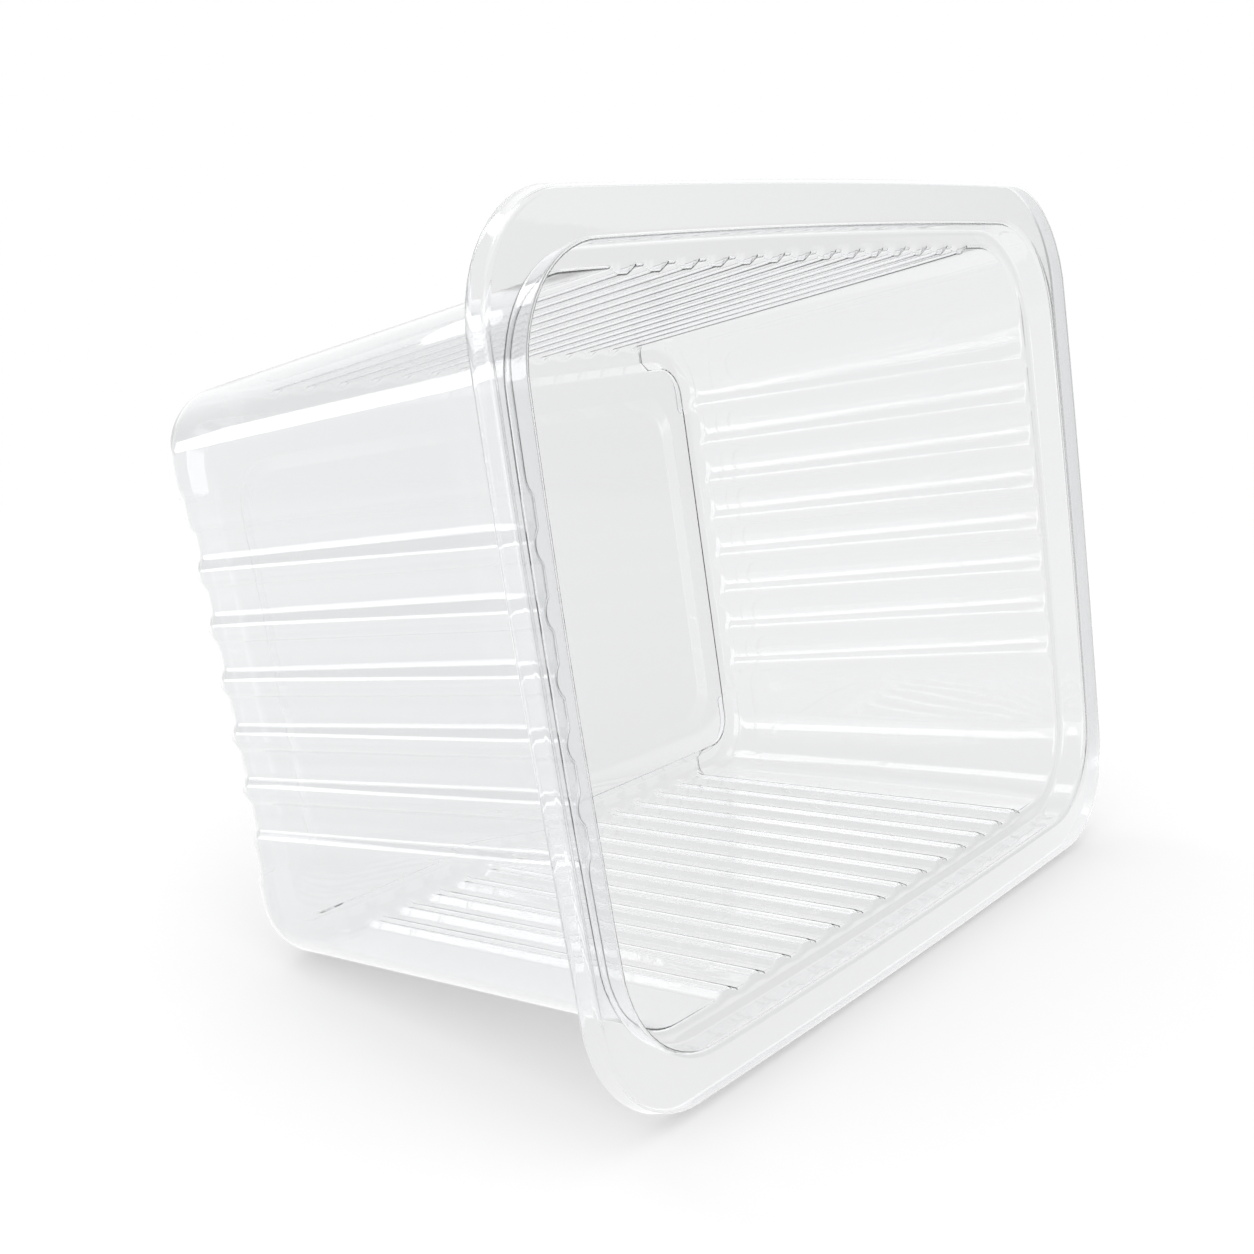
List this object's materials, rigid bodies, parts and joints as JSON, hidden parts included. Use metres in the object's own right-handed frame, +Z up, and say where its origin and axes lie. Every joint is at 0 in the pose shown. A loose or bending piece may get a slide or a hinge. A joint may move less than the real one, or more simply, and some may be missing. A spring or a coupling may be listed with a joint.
{
  "type": "heat-sealable plastic tray",
  "caption": "Deep clear thermoformed tray with ribbed walls and a wide flat flange that a lidding film is heat-sealed to.",
  "frame": {"origin": "middle of the footprint of the tray as it lies, on the surface it lies on", "axes": "+X along the tray's length, +Y towards its base (the mouth looks to -Y and slightly up), +Z up"},
  "size_m": [0.1926, 0.1194, 0.1435],
  "materials": {
    "clear_plastic": "clear, glossy, slightly grey where the sheet is seen edge on"
  },
  "bodies": {
    "root": {"tray": "clear_plastic"}
  },
  "joints": []
}
